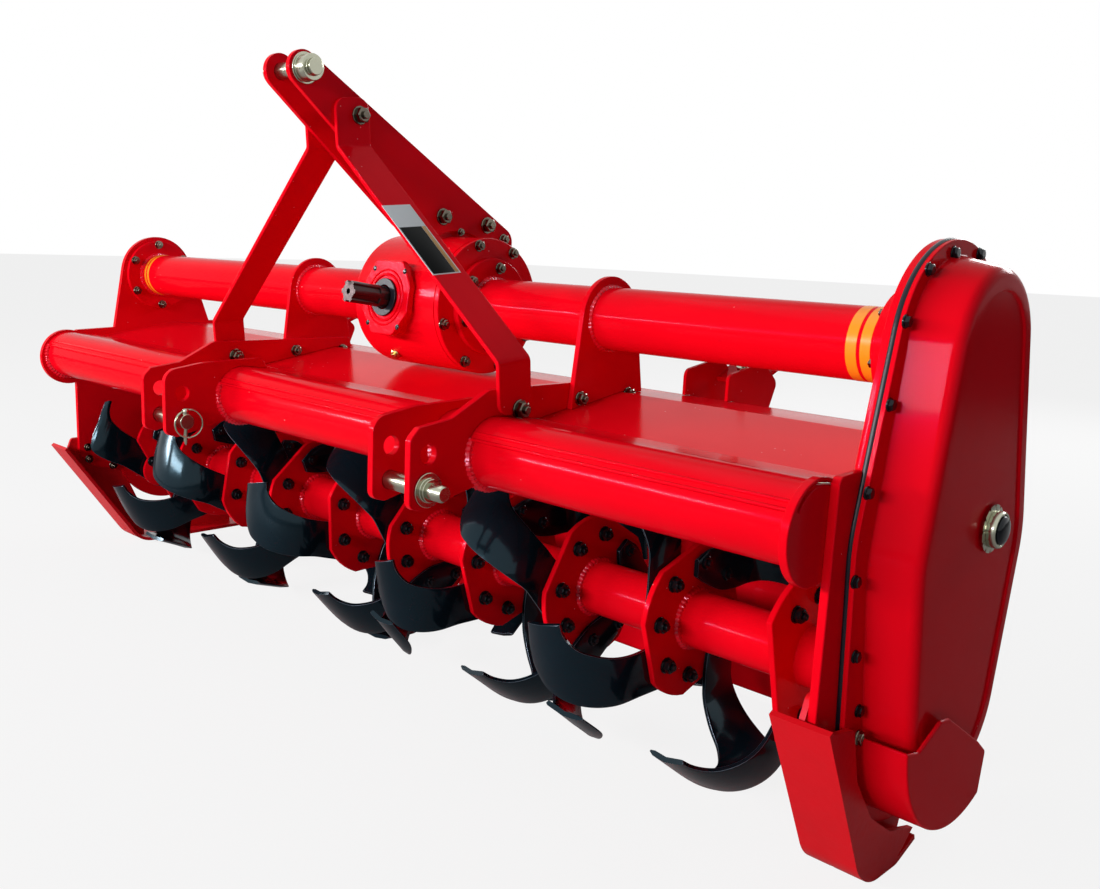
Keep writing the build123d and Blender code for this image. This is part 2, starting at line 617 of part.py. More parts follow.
def adjusters():
    """Rods from lugs on the board up through slotted brackets on the hood."""
    run_y, run_z = EYE_Y - LUG_Y, EYE_Z - LUG_Z
    length = math.hypot(run_y, run_z)
    along = Vector(0, run_y / length, run_z / length)
    rods = []
    brackets = {}
    cheek = panel((118, 300, 0), (118, 364, 14), (EYE_Y - 20, EYE_Z + 24, 20), (EYE_Y + 26, EYE_Z - 12, 14),
                  (EYE_Y + 6, 300, 14), (190, 240, 0))
    cheek = clear_of_hood(cheek)
    for x, name in zip(ADJUSTERS, ("left", "right")):
        lower = Plane(origin=(x, LUG_Y, LUG_Z), x_dir=AXIS_X, z_dir=along)
        rod = extrude(lower * Circle(ROD_R - 1), length + ROD_OVER)
        rod += bar(x - 3.5, x + 3.5, LUG_Y, LUG_Z, 15)
        rod += bar(x - LUG_T - LUG_GAP - 6, x + LUG_T + LUG_GAP + 6, LUG_Y, LUG_Z, ROD_R)
        plate = Plane(origin=(x, EYE_Y, EYE_Z), x_dir=AXIS_X, z_dir=along)
        rod += extrude(plate.offset(4.3) * Circle(15), 12)
        rods.append(rod)
        box = slab(cheek, x - BRACKET_W / 2, CHEEK_T) + slab(cheek, x + BRACKET_W / 2 - CHEEK_T, CHEEK_T)
        shelf = Rectangle(BRACKET_W - 2, 64) - SlotOverall(44, 2 * ROD_R + 4, rotation=90)
        box += extrude(plate * shelf, 4, both=True)
        brackets[name] = box
    pieces["adjuster_rods"] = Compound([solid for rod in rods for solid in rod.solids()])
    for name, box in brackets.items():
        pieces[f"board_bracket_{name}"] = box


# ---- Build and write ----
def build():
    side_plates()
    main_beam()
    front_tube()
    hood()
    hinge_pin()
    gear_case()
    case_guard()
    gearbox()
    input_shaft()
    ear_plates()
    saddles()
    mast()
    braces()
    pins()
    skids()
    rotor_bearing()
    rotor_shaft()
    tines()
    rear_board()
    adjusters()


def place():
    """Stand every piece on the ground, centred on its footprint, and write it."""
    solids = [solid for shape in pieces.values() for solid in shape.solids()]
    extent = Compound(solids).bounding_box()
    shift = Vector(-extent.center().X, -extent.center().Y, -extent.min.Z)
    print("shift", [round(v, 4) for v in shift])
    print("size", [round(v, 2) for v in extent.size])
    for name, shape in pieces.items():
        moved = [Pos(shift) * solid for solid in shape.solids()]
        export_step(moved[0] if len(moved) == 1 else Compound(moved), f"parts/{name}.step")


build()
place()
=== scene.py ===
import json
import math

import bmesh
import bpy
import numpy as np
from mathutils import Matrix, Vector

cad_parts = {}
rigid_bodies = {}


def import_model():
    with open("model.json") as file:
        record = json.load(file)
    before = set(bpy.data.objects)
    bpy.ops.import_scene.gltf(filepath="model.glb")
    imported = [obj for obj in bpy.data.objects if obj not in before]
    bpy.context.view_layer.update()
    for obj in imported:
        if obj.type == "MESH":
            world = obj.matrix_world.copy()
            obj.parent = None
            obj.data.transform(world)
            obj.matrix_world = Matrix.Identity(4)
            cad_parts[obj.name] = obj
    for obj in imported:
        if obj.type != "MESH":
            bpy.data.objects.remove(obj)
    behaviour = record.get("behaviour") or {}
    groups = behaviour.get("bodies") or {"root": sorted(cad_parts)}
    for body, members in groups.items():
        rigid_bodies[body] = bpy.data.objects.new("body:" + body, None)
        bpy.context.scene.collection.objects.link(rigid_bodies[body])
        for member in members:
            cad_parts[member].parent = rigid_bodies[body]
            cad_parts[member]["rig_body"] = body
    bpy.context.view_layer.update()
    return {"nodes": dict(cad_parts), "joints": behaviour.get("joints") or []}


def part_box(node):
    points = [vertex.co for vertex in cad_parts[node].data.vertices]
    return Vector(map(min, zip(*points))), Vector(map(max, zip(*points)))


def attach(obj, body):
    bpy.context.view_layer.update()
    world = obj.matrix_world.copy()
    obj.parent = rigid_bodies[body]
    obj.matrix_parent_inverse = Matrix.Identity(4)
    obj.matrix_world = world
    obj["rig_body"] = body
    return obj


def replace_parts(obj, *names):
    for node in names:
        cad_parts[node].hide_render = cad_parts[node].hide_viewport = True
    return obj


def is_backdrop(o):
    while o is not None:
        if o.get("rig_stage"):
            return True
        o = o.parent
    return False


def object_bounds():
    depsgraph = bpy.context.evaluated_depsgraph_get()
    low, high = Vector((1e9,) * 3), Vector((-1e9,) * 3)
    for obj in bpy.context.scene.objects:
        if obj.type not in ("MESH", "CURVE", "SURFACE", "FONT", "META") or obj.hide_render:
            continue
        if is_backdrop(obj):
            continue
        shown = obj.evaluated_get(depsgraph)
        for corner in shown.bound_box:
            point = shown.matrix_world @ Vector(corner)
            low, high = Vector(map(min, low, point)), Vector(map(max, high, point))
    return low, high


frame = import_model()

# ---- Studio: camera, lamps, pale floor ----
# The machine stands on a pale sheet that runs away white, lit by long soft boxes in front of it,
# behind it and above, and is seen from its front right corner at about chest height.
joints = {j["name"]: j for j in frame["joints"]}
hub = Vector(joints["rotor_spin"]["pos_m"])

camera_data = bpy.data.cameras.new("camera")
camera_data.sensor_width = 36.0
camera_data.lens = 35.72
camera_data.shift_x = 0.0412
camera_data.shift_y = 0.0211
camera_data.clip_start = 0.05
camera = bpy.data.objects.new("camera", camera_data)
bpy.context.scene.collection.objects.link(camera)
CAMERA_PLACE = Vector((1.6348, -1.3452, 0.5550))
yaw, pitch, roll = math.radians(45.3), math.radians(11.6), math.radians(2.2)
back = Vector((math.sin(yaw) * math.cos(pitch), -math.cos(yaw) * math.cos(pitch), math.sin(pitch)))
right = Vector((math.cos(yaw), math.sin(yaw), 0.0))
up = back.cross(right)
rolled_right = right * math.cos(roll) + up * math.sin(roll)
rolled_up = up * math.cos(roll) - right * math.sin(roll)
camera_axes = Matrix((rolled_right, rolled_up, back)).transposed().to_4x4()
camera.matrix_world = Matrix.Translation(hub + CAMERA_PLACE) @ camera_axes
bpy.context.scene.camera = camera
bpy.context.scene.view_settings.view_transform = "Standard"


def soft_box(name, place, target, size, power, colour):
    """A rectangular area lamp at place, turned to look at target."""
    data = bpy.data.lights.new(name, "AREA")
    data.shape = "RECTANGLE"
    data.size, data.size_y = size
    data.energy = power
    data.color = colour
    lamp = bpy.data.objects.new(name, data)
    lamp.location = place
    lamp.rotation_euler = (Vector(target) - Vector(place)).to_track_quat("-Z", "Y").to_euler()
    bpy.context.scene.collection.objects.link(lamp)
    return lamp


soft_box("key_box", (-4.0, -5.0, 2.0), (0.0, 0.0, 0.3), (3.2, 0.42), 290, (1.0, 0.98, 1.0))
soft_box("front_box", (0.2, -4.6, 1.7), (0.2, 0.0, 0.3), (3.0, 0.5), 172, (1.0, 0.98, 1.0))
soft_box("back_box", (0.6, 4.6, 2.4), (0.0, 0.0, 0.3), (3.0, 1.0), 130, (1.0, 1.0, 1.0))
soft_box("top_box", (-0.6, -0.2, 3.4), (0.0, 0.0, 0.4), (2.6, 1.2), 10, (1.0, 1.0, 1.0))

world = bpy.data.worlds.new("studio_air")
bpy.context.scene.world = world
world.use_nodes = True
world_nodes, world_links = world.node_tree.nodes, world.node_tree.links
world_nodes.clear()
dim = world_nodes.new("ShaderNodeBackground")
dim.inputs["Color"].default_value = (0.94, 0.96, 1.0, 1.0)
dim.inputs["Strength"].default_value = 0.09
white = world_nodes.new("ShaderNodeBackground")
white.inputs["Color"].default_value = (1.0, 1.0, 1.0, 1.0)
white.inputs["Strength"].default_value = 1.0
paths = world_nodes.new("ShaderNodeLightPath")
mirrored = world_nodes.new("ShaderNodeMath")
mirrored.operation = "MAXIMUM"
shown = world_nodes.new("ShaderNodeMath")
shown.operation = "MAXIMUM"
pick = world_nodes.new("ShaderNodeMixShader")
world_out = world_nodes.new("ShaderNodeOutputWorld")
world_links.new(paths.outputs["Is Camera Ray"], mirrored.inputs[0])
world_links.new(paths.outputs["Is Glossy Ray"], mirrored.inputs[1])
world_links.new(mirrored.outputs[0], shown.inputs[0])
world_links.new(paths.outputs["Is Transmission Ray"], shown.inputs[1])
world_links.new(shown.outputs[0], pick.inputs["Fac"])
world_links.new(dim.outputs["Background"], pick.inputs[1])
world_links.new(white.outputs["Background"], pick.inputs[2])
world_links.new(pick.outputs["Shader"], world_out.inputs["Surface"])

floor_mesh = bpy.data.meshes.new("floor")
floor_corners = [(-30, -30, -0.001), (30, -30, -0.001), (30, 30, -0.001), (-30, 30, -0.001)]
floor_mesh.from_pydata(floor_corners, [], [(0, 1, 2, 3)])
floor = bpy.data.objects.new("floor", floor_mesh)
bpy.context.scene.collection.objects.link(floor)
sheet = bpy.data.materials.new("studio_sheet")
sheet.use_nodes = True
sheet_nodes, sheet_links = sheet.node_tree.nodes, sheet.node_tree.links
pale = sheet_nodes["Principled BSDF"]
pale.inputs["Base Color"].default_value = (0.48, 0.48, 0.48, 1.0)
pale.inputs["Roughness"].default_value = 0.9
pale.inputs["Specular IOR Level"].default_value = 0.0
glow = sheet_nodes.new("ShaderNodeEmission")
glow.inputs["Color"].default_value = (1.0, 1.0, 1.0, 1.0)
seen = sheet_nodes.new("ShaderNodeLightPath")
part_lit = sheet_nodes.new("ShaderNodeMath")
part_lit.operation = "MULTIPLY"
part_lit.inputs[1].default_value = 0.86
sheet_mix = sheet_nodes.new("ShaderNodeMixShader")
sheet_links.new(seen.outputs["Is Camera Ray"], part_lit.inputs[0])
sheet_links.new(part_lit.outputs[0], sheet_mix.inputs["Fac"])
sheet_links.new(pale.outputs["BSDF"], sheet_mix.inputs[1])
sheet_links.new(glow.outputs["Emission"], sheet_mix.inputs[2])
sheet_links.new(sheet_mix.outputs["Shader"], sheet_nodes["Material Output"].inputs["Surface"])
floor.data.materials.append(sheet)
floor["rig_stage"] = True

# ---- Side plates ----
# Two 12 mm steel plates cut to shape close the ends of the hood and carry the beam, the rotor and
# the front tube. They are welded and bolted up, and sprayed with deep red gloss enamel.


def new_socket(tree, name, in_out, kind, value=None):
    """One named input or output of a node group, with its default."""
    socket = tree.interface.new_socket(name=name, in_out=in_out, socket_type=kind)
    if value is not None:
        socket.default_value = value
    return socket


def link_maths(tree, operation, first, second):
    """A Math node on two sockets or numbers, and its output."""
    node = tree.nodes.new("ShaderNodeMath")
    node.operation = operation
    for i, value in enumerate((first, second)):
        if hasattr(value, "is_output"):
            tree.links.new(value, node.inputs[i])
        else:
            node.inputs[i].default_value = value
    return node.outputs[0]


def make_coat_group():
    """Shared sprayed coat: colour drift from broad noise, a fine peel, and small pale dots, which are
    painted glints on enamel and worn spots on the skids.
    """
    tree = bpy.data.node_groups.new("sprayed_coat", "ShaderNodeTree")
    new_socket(tree, "Colour", "INPUT", "NodeSocketColor", (0.7, 0.01, 0.01, 1.0))
    new_socket(tree, "Deep Colour", "INPUT", "NodeSocketColor", (0.4, 0.0, 0.01, 1.0))
    new_socket(tree, "Glint And Wear Colour", "INPUT", "NodeSocketColor", (0.8, 0.5, 0.5, 1.0))
    new_socket(tree, "Drift", "INPUT", "NodeSocketFloat", 0.3)
    new_socket(tree, "Glints And Wear", "INPUT", "NodeSocketFloat", 0.0)
    new_socket(tree, "Base Roughness", "INPUT", "NodeSocketFloat", 0.25)
    new_socket(tree, "Peel", "INPUT", "NodeSocketFloat", 0.05)
    new_socket(tree, "Peel Scale", "INPUT", "NodeSocketFloat", 260.0)
    new_socket(tree, "Colour", "OUTPUT", "NodeSocketColor")
    new_socket(tree, "Roughness", "OUTPUT", "NodeSocketFloat")
    new_socket(tree, "Normal", "OUTPUT", "NodeSocketVector")
    ins, outs = tree.nodes.new("NodeGroupInput"), tree.nodes.new("NodeGroupOutput")
    place = tree.nodes.new("ShaderNodeTexCoord")
    broad = tree.nodes.new("ShaderNodeTexNoise")
    broad.inputs["Scale"].default_value = 7.0
    broad.inputs["Detail"].default_value = 4.0
    tree.links.new(place.outputs["Object"], broad.inputs["Vector"])
    fine = tree.nodes.new("ShaderNodeTexNoise")
    fine.inputs["Detail"].default_value = 2.0
    tree.links.new(place.outputs["Object"], fine.inputs["Vector"])
    tree.links.new(ins.outputs["Peel Scale"], fine.inputs["Scale"])
    amount = link_maths(tree, "MULTIPLY", broad.outputs["Fac"], ins.outputs["Drift"])
    blend = tree.nodes.new("ShaderNodeMix")
    blend.data_type = "RGBA"
    tree.links.new(amount, blend.inputs["Factor"])
    tree.links.new(ins.outputs["Colour"], blend.inputs["A"])
    tree.links.new(ins.outputs["Deep Colour"], blend.inputs["B"])
    cells = tree.nodes.new("ShaderNodeTexVoronoi")
    cells.inputs["Scale"].default_value = 46.0
    tree.links.new(place.outputs["Object"], cells.inputs["Vector"])
    # Small pale dots where the broad noise is high: painted glints on the enamels and welds, worn spots on
    # the skids.
    near = link_maths(tree, "LESS_THAN", cells.outputs["Distance"], 0.055)
    some = link_maths(tree, "GREATER_THAN", broad.outputs["Fac"], 0.55)
    dot = link_maths(tree, "MULTIPLY", near, some)
    dot = link_maths(tree, "MULTIPLY", dot, ins.outputs["Glints And Wear"])
    dotted = tree.nodes.new("ShaderNodeMix")
    dotted.data_type = "RGBA"
    tree.links.new(dot, dotted.inputs["Factor"])
    tree.links.new(blend.outputs["Result"], dotted.inputs["A"])
    tree.links.new(ins.outputs["Glint And Wear Colour"], dotted.inputs["B"])
    tree.links.new(dotted.outputs["Result"], outs.inputs["Colour"])
    spread = link_maths(tree, "MULTIPLY", broad.outputs["Fac"], 0.10)
    rough = link_maths(tree, "ADD", ins.outputs["Base Roughness"], spread)
    tree.links.new(rough, outs.inputs["Roughness"])
    bump = tree.nodes.new("ShaderNodeBump")
    bump.inputs["Distance"].default_value = 0.0006
    tree.links.new(ins.outputs["Peel"], bump.inputs["Strength"])
    tree.links.new(fine.outputs["Fac"], bump.inputs["Height"])
    tree.links.new(bump.outputs["Normal"], outs.inputs["Normal"])
    return tree


coat_group = make_coat_group()


def coated(name, colour, deep, drift, roughness, peel, peel_scale, metallic=0.0, gloss=0.5,
           tint=(1.0, 1.0, 1.0), glints_and_wear=0.0, glint_and_wear_colour=(0.8, 0.6, 0.6), coat=0.0):
    """A material of the sprayed-coat group on one Principled shader."""
    material = bpy.data.materials.new(name)
    material.use_nodes = True
    tree = material.node_tree
    shader = tree.nodes["Principled BSDF"]
    shader.inputs["Metallic"].default_value = metallic
    shader.inputs["Specular IOR Level"].default_value = gloss
    shader.inputs["Specular Tint"].default_value = (*tint, 1.0)
    shader.inputs["Coat Weight"].default_value = coat
    shader.inputs["Coat Roughness"].default_value = 0.06
    group = tree.nodes.new("ShaderNodeGroup")
    group.node_tree = coat_group
    group.inputs["Colour"].default_value = (*colour, 1.0)
    group.inputs["Deep Colour"].default_value = (*deep, 1.0)
    group.inputs["Glint And Wear Colour"].default_value = (*glint_and_wear_colour, 1.0)
    group.inputs["Drift"].default_value = drift
    group.inputs["Glints And Wear"].default_value = glints_and_wear
    group.inputs["Base Roughness"].default_value = roughness
    group.inputs["Peel"].default_value = peel
    group.inputs["Peel Scale"].default_value = peel_scale
    tree.links.new(group.outputs["Colour"], shader.inputs["Base Color"])
    tree.links.new(group.outputs["Roughness"], shader.inputs["Roughness"])
    tree.links.new(group.outputs["Normal"], shader.inputs["Normal"])
    return material


# The red enamel's small pale pink dots are painted glints.
red_enamel = coated("red_enamel", (0.80, 0.0015, 0.010), (0.58, 0.0005, 0.004), 0.5, 0.11, 0.12, 240.0,
                    gloss=0.022, tint=(1.0, 0.10, 1.0), glints_and_wear=0.35, coat=0.035)


def dressed(node, material, edge=0.0020, crease=34.0):
    """A copy of a CAD piece: its triangles merged, flat faces joined and edges slightly rounded."""
    source = frame["nodes"][node]
    work = bmesh.new()
    work.from_mesh(source.data)
    bmesh.ops.remove_doubles(work, verts=work.verts, dist=1e-5)
    bmesh.ops.dissolve_limit(work, angle_limit=math.radians(0.6), verts=work.verts, edges=work.edges)
    mesh = bpy.data.meshes.new(node + "_skin")
    work.to_mesh(mesh)
    work.free()
    mesh.polygons.foreach_set("use_smooth", np.ones(len(mesh.polygons), bool))
    mesh.set_sharp_from_angle(angle=math.radians(crease))
    skin = bpy.data.objects.new(node + "_skin", mesh)
    bpy.context.scene.collection.objects.link(skin)
    mesh.materials.append(material)
    bevel = skin.modifiers.new("rounded_edges", "BEVEL")
    bevel.width = edge
    bevel.segments = 2
    bevel.limit_method = "ANGLE"
    bevel.angle_limit = math.radians(crease)
    bevel.harden_normals = True
    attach(skin, source["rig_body"])
    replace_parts(skin, node)
    return skin


def surface(name, points, material, body, wrap_u=False, wrap_v=False):
    """A grid of points joined by four-sided faces, wrapped round in u or v.

    points is (nu, nv, 3) or (n, nu, nv, 3) for n copies, in millimetres about the rotor's middle.
    """
    grids = points if points.ndim == 4 else points[None]
    count, nu, nv = grids.shape[:3]
    index = np.arange(count * nu * nv).reshape(count, nu, nv)
    a = index if wrap_u else index[:, :-1]
    b = np.roll(index, -1, axis=1) if wrap_u else index[:, 1:]
    if wrap_v:
        quads = np.stack([a, np.roll(a, -1, axis=2), np.roll(b, -1, axis=2), b], axis=-1)
    else:
        quads = np.stack([a[:, :, :-1], a[:, :, 1:], b[:, :, 1:], b[:, :, :-1]], axis=-1)
    mesh = bpy.data.meshes.new(name)
    metres = grids.reshape(-1, 3) / 1000.0 + np.array(hub)
    mesh.from_pydata(metres.tolist(), [], quads.reshape(-1, 4).tolist())
    work = bmesh.new()
    work.from_mesh(mesh)
    bmesh.ops.remove_doubles(work, verts=work.verts, dist=1e-6)
    bmesh.ops.recalc_face_normals(work, faces=work.faces)
    work.to_mesh(mesh)
    work.free()
    mesh.polygons.foreach_set("use_smooth", np.ones(len(mesh.polygons), bool))
    mesh.set_sharp_from_angle(angle=math.radians(38))
    mesh.materials.append(material)
    piece = bpy.data.objects.new(name, mesh)
    bpy.context.scene.collection.objects.link(piece)
    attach(piece, body)
    return piece


def heads(name, rows, outward, material, body, turn=0.0, thread=1.0):
    """Hexagon heads or nuts on washers, one for each row of x, y, z, width across flats and height.

    The profile is rings of (share of half the width, share of the height): the washer, the six
    flats, the chamfer and the end of the thread. On the flats the radius at angle t is the half
    width over the cosine of t's distance from the nearest flat's middle.
    """
    rows = np.asarray(rows, float)
    axis = np.asarray(outward, float)
    axis = axis / np.linalg.norm(axis, axis=-1, keepdims=True)
    axis = np.broadcast_to(axis, (len(rows), 3))
    helper = np.where(np.abs(axis[:, 2:3]) > 0.8, [[0.0, 1.0, 0.0]], [[0.0, 0.0, 1.0]])
    side = np.cross(helper, axis)
    side /= np.linalg.norm(side, axis=1, keepdims=True)
    over = np.cross(axis, side)
    #                 radius, height, is it on the hexagon
    rings = np.array([(1.36, -0.10, 0), (1.36, 0.16, 0), (1.28, 0.22, 0), (1.0, 0.22, 1), (1.0, 0.88, 1),
                      (0.90, 1.0, 0), (0.56, 1.0, 0), (0.56, 1.0 + 0.28 * thread, 0),
                      (0.46, 1.0 + 0.36 * thread, 0), (0.0, 1.0 + 0.36 * thread, 0)])
    angle = np.arange(12) * math.pi / 6 + math.radians(turn)
    to_flat = (np.arange(12) % 2) * math.pi / 6
    hexagon = 1.0 / np.cos(math.pi / 6 - to_flat)
    reach = rings[:, 0:1] * np.where(rings[:, 2:3] > 0, hexagon[None], 1.0)
    ring_x, ring_y = reach * np.cos(angle), reach * np.sin(angle)
    half = rows[:, 3] / 2
    points = (rows[:, None, None, :3]
              + half[:, None, None, None] * ring_x[None, :, :, None] * side[:, None, None, :]
              + half[:, None, None, None] * ring_y[None, :, :, None] * over[:, None, None, :]
              + rows[:, 4][:, None, None, None] * rings[None, :, None, 1:2] * axis[:, None, None, :])
    return surface(name, points, material, body, wrap_v=True)


dark_zinc = coated("dark_zinc", (0.30, 0.26, 0.20), (0.03, 0.028, 0.026), 1.0, 0.10, 0.3, 500.0,
                   metallic=1.0)
LEFT_FACE, PLATE = -989.0, 12.0
PLATE_BOLT, PLATE_NUT = (15, 10), (15, 11)
plate_holes = ((-210, 20), (-208, -10), (-147, -33), (-204, 286))
dressed("side_plate_left", red_enamel)
dressed("side_plate_right", red_enamel)
plate_bolts = [(LEFT_FACE, y, z, *PLATE_BOLT) for y, z in (*plate_holes, (150, 60))]
heads("plate_bolts_left", plate_bolts, (1, 0, 0), dark_zinc, "frame")
outer_nuts = [(LEFT_FACE - PLATE, y, z, *PLATE_NUT) for y, z in plate_holes]
heads("plate_nuts_left", outer_nuts, (-1, 0, 0), dark_zinc, "frame")

# ---- Main beam ----
# A thick tube in two halves with turned flanges at both ends, bolted to the left plate, to both
# sides of the gearbox and to the bearing at the right. Two orange rings are painted at each end.
BEAM_Y, BEAM_Z, BEAM_R = -11.0, 445.0, 49.0
RIPPLE = 2.3


def ring_places(x, radius, first, step, count, width, height):
    """Rows for heads at even steps of angle on a circle about the beam."""
    turn = np.radians(first + step * np.arange(count))
    y, z = BEAM_Y + radius * np.cos(turn), BEAM_Z + radius * np.sin(turn)
    same = np.ones(count)
    return np.stack([x * same, y, z, width * same, height * same], axis=1)


def weld_ring(x, radius, size=5.0, about=(BEAM_Y, BEAM_Z), start=0.0, sweep=360.0):
    """A rippled bead round a tube at x: a small circle carried round the tube's corner.

    Its own radius swells by a sixth at each ripple, with a slower, smaller swell along the bead.
    """
    steps = max(24, int(radius * math.radians(sweep) / RIPPLE))
    turn = np.radians(start + sweep * np.arange(steps + (sweep < 360)) / steps)
    round_bead = np.arange(7) * 2 * math.pi / 7
    count = np.arange(len(turn))
    swell = size * (1 + 0.16 * np.sin(count * 2.1) + 0.07 * np.sin(count * 0.37))
    out = radius + swell[:, None] * np.cos(round_bead)[None]
    y = about[0] + out * np.cos(turn)[:, None]
    z = about[1] + out * np.sin(turn)[:, None]
    return np.stack([x + swell[:, None] * np.sin(round_bead)[None], y, z], axis=-1)


for node in ("beam_left", "beam_right", "beam_bearing"):
    dressed(node, red_enamel)
# The welds' enamel is painted paler and pinker than the rest and dotted all over with pale dots: painted
# highlights on the beads.
weld_enamel_painted_highlights = coated("weld_enamel_painted_highlights", (0.84, 0.006, 0.020), (0.70, 0.003, 0.012), 0.5, 0.06, 0.5, 420.0,
                     gloss=0.45, tint=(1.0, 0.6, 0.8), glints_and_wear=1.0)
for name, x, radius, first, width, height, out in (
        ("left", -977, 74, 92, 15, 10, 1), ("right", 991, 63, 17, 11, 6, -1),
        ("gearbox_left", -17, 68, 20, 15, 9, -1), ("gearbox_right", 243, 68, 20, 15, 9, 1)):
    heads(f"beam_bolts_{name}", ring_places(x, radius, first, 60, 6, width, height), (out, 0, 0), dark_zinc,
          "frame")
for name, x in (("left", -977.0), ("right", 991.0), ("gear_left", -17.0), ("gear_right", 243.0)):
    surface(f"beam_weld_{name}", weld_ring(x, BEAM_R), weld_enamel_painted_highlights, "frame", True, True)

orange_paint = coated("orange_paint", (0.92, 0.30, 0.012), (0.85, 0.24, 0.01), 0.5, 0.22, 0.1, 260.0,
                      gloss=0.25)


def painted_ring(x0, x1):
    """A band of paint round the beam: 0.25 mm proud, its two edges tapering into the tube."""
    across = np.array([x0, x0 + 0.4, x1 - 0.4, x1])
    proud = BEAM_R + np.array([-0.2, 0.25, 0.25, -0.2])
    turn = np.arange(96) * 2 * math.pi / 96
    y = BEAM_Y + proud[:, None] * np.cos(turn)[None]
    z = BEAM_Z + proud[:, None] * np.sin(turn)[None]
    return np.stack([np.broadcast_to(across[:, None], y.shape), y, z], axis=-1)


for i, (x0, x1) in enumerate(((943, 958.5), (963, 977.5), (-964, -956), (-951, -942))):
    surface(f"orange_ring_{i}", painted_ring(x0, x1), orange_paint, "frame", wrap_v=True)

# ---- Front tube ----
# A long round tube low at the front, welded to the plates and to the four hitch ears, with a
# shaped plate over its right end.
TUBE_Y, TUBE_Z, TUBE_R = -248.0, 252.0, 51.0
dressed("front_tube", red_enamel)
dressed("tube_end_plate", red_enamel)
for i, x in enumerate((-277, -289, -206, -194, 408, 420, 491, 503, -989)):
    bead = weld_ring(x, TUBE_R, 7.0, (TUBE_Y, TUBE_Z), 150, 170)
    surface(f"tube_weld_{i}", bead, weld_enamel_painted_highlights, "frame", wrap_v=True)

# ---- Hood ----
# A 4 mm sheet bent over the rotor from the front tube to the rear hinge. It is lapped over the
# tube, creased behind it and rolled down at the back, with hinge knuckles welded along its edge.
dressed("hood", red_enamel, edge=0.0008)
LAP_R, LIP_SIZE = TUBE_R + 4.2, 2.6


def lap_line(angle, size, x0, x1):
    """A rounded lip along the lap's edge: a small circle carried straight from x0 to x1 on the tube."""
    middle = np.array([TUBE_Y, TUBE_Z]) + LAP_R * np.array([math.cos(angle), math.sin(angle)])
    turn = np.arange(10) * 2 * math.pi / 10
    x = np.array([x0, x0, x0 + 2, x1 - 2, x1, x1])
    out = size * np.array([0.0, 0.8, 1, 1, 0.8, 0.0])[:, None]
    y, z = middle[0] + out * np.cos(turn), middle[1] + out * np.sin(turn)
    return np.stack([np.broadcast_to(x[:, None], y.shape), y, z], axis=-1)


for i, (x0, x1) in enumerate(((-980, -291), (-192, 406), (505, 1020))):
    for k, degrees in enumerate((140.5, 151.5)):
        lip = lap_line(math.radians(degrees), LIP_SIZE, x0, x1)
        surface(f"lap_lip_{i}_{k}", lip, red_enamel, "frame", wrap_v=True)
zinc_plate = coated("zinc_plate", (0.50, 0.50, 0.38), (0.34, 0.36, 0.30), 0.7, 0.18, 0.25, 180.0,
                    metallic=1.0)
dressed("hinge_pin", zinc_plate, edge=0.0006)

# ---- Gear case ----
# A deep cover pressed from sheet, bolted with a dark gasket over the right plate. Its face has a
# shallow sunk panel, left bare, and a big plug for oil and for the idler shaft's end.
gasket_black = coated("gasket_black", (0.004, 0.004, 0.009), (0.012, 0.012, 0.022), 0.5, 0.30, 0.2, 300.0,
                      gloss=0.3)
dressed("case_gasket", gasket_black, edge=0.0005)


def case_bead(x, half, proud):
    """A rounded bead all round the case: out from three circles' common outline by proud.

    In each direction the outline is the furthest of the circles' points, each a middle plus its
    radius, and the bead's section there is an oval, half wide and proud high.
    """
    turn = np.arange(240) * 2 * math.pi / 240
    facing = np.stack([np.cos(turn), np.sin(turn)], axis=1)
    middles = np.array([(-11.0, 445.0), (0.0, 215.0), (0.0, 0.0)])
    radii = np.array([136.0, 196.0, 180.0])
    furthest = np.argmax(facing @ middles.T + radii, axis=1)
    oval = np.arange(10) * 2 * math.pi / 10
    reach = radii[furthest][:, None] - 0.5 + proud * np.cos(oval)[None]
    flat = middles[furthest][:, None] + reach[:, :, None] * facing[:, None]
    across = np.broadcast_to(x + half * np.sin(oval), (240, 10))
    return np.concatenate([across[:, :, None], flat], axis=2)


GASKET_X, GASKET_HALF, GASKET_PROUD = 1047.6, 3.4, 2.6
surface("gasket_lip", case_bead(GASKET_X, GASKET_HALF, GASKET_PROUD), gasket_black, "frame",
        True, True)
dressed("case_cover", red_enamel, crease=26.0)
RIM_FACE = 1057.0
black_oxide = coated("black_oxide", (0.0015, 0.0015, 0.002), (0.008, 0.009, 0.012), 0.8, 0.10, 0.3,
                     420.0, gloss=0.22, tint=(0.8, 0.9, 1.0), coat=0.12)
rim_places = ((-33, 564), (-95, 544), (-138, 485), (-155, 390), (-186, 290), (-194, 185), (-174, 88),
              (-150, 12), (40, 564), (100, 520), (135, 440), (170, 340), (193, 225), (180, 110),
              (160, 20), (110, -130), (40, -166))
RIM_BOLT = (12.5, 6.5)
heads("case_bolts", [(RIM_FACE, y, z, *RIM_BOLT) for y, z in rim_places], (1, 0, 0), black_oxide, "frame",
      thread=0.0)


def turned(name, steps, about, material, body, sides=36, notch=0.0, teeth=0):
    """A piece turned on a lathe about a line along x through y, z: steps are rows of x and radius.

    Where teeth are given, the radius is cut in by a notch's share on the outer steps of every tooth.
    """
    steps = np.asarray(steps, float)
    turn = np.arange(sides) * 2 * math.pi / sides
    cut = 1 - notch * (np.arange(sides) % max(sides // teeth, 1) == 0) if teeth else np.ones(sides)
    out = steps[:, 1:2] * np.where(steps[:, 1:2] > 0.75 * steps[:, 1].max(), cut[None], 1.0)
    points = np.stack([np.broadcast_to(steps[:, 0:1], out.shape), about[0] + out * np.cos(turn),
                       about[1] + out * np.sin(turn)], axis=-1)
    return surface(name, points, material, body, wrap_v=True)


